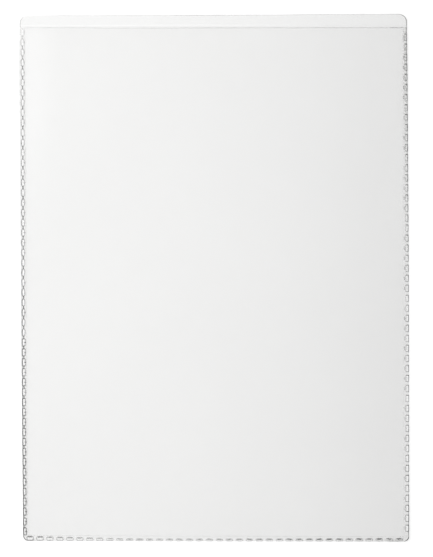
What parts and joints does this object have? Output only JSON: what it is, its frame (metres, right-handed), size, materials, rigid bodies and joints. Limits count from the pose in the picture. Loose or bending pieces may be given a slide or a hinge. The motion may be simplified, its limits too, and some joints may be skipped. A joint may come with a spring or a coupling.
{
  "type": "badge sleeve",
  "caption": "Flat clear badge sleeve: a tall back film with a round-cornered lip, a shorter front film that leaves the mouth open, and a weld of small chain links round the closed edges.",
  "frame": {"origin": "middle of the back face, on the surface that the sleeve lies on", "axes": "+X across the sleeve, +Y from the bottom weld to the mouth, +Z out of the front film"},
  "size_m": [0.1116, 0.1516, 0.0007],
  "materials": {
    "clear_film": "clear, glossy, slightly hazy soft film",
    "fused_border": "clear film, melted together and embossed, so that it looks greyer"
  },
  "bodies": {
    "sleeve": {"back_film": "clear_film", "left_weld_seam": "fused_border", "right_weld_seam": "fused_border", "bottom_weld_seam": "fused_border"},
    "front_panel": {"front_film": "clear_film"}
  },
  "joints": [
    {"name": "mouth_open", "type": "hinge", "parent": "sleeve", "child": "front_panel", "pos_m": [0, -0.074, 0.0006], "axis": [1, 0, 0], "range_deg": [0, 4], "stiffness_Nm_per_rad": 0.2}
  ]
}
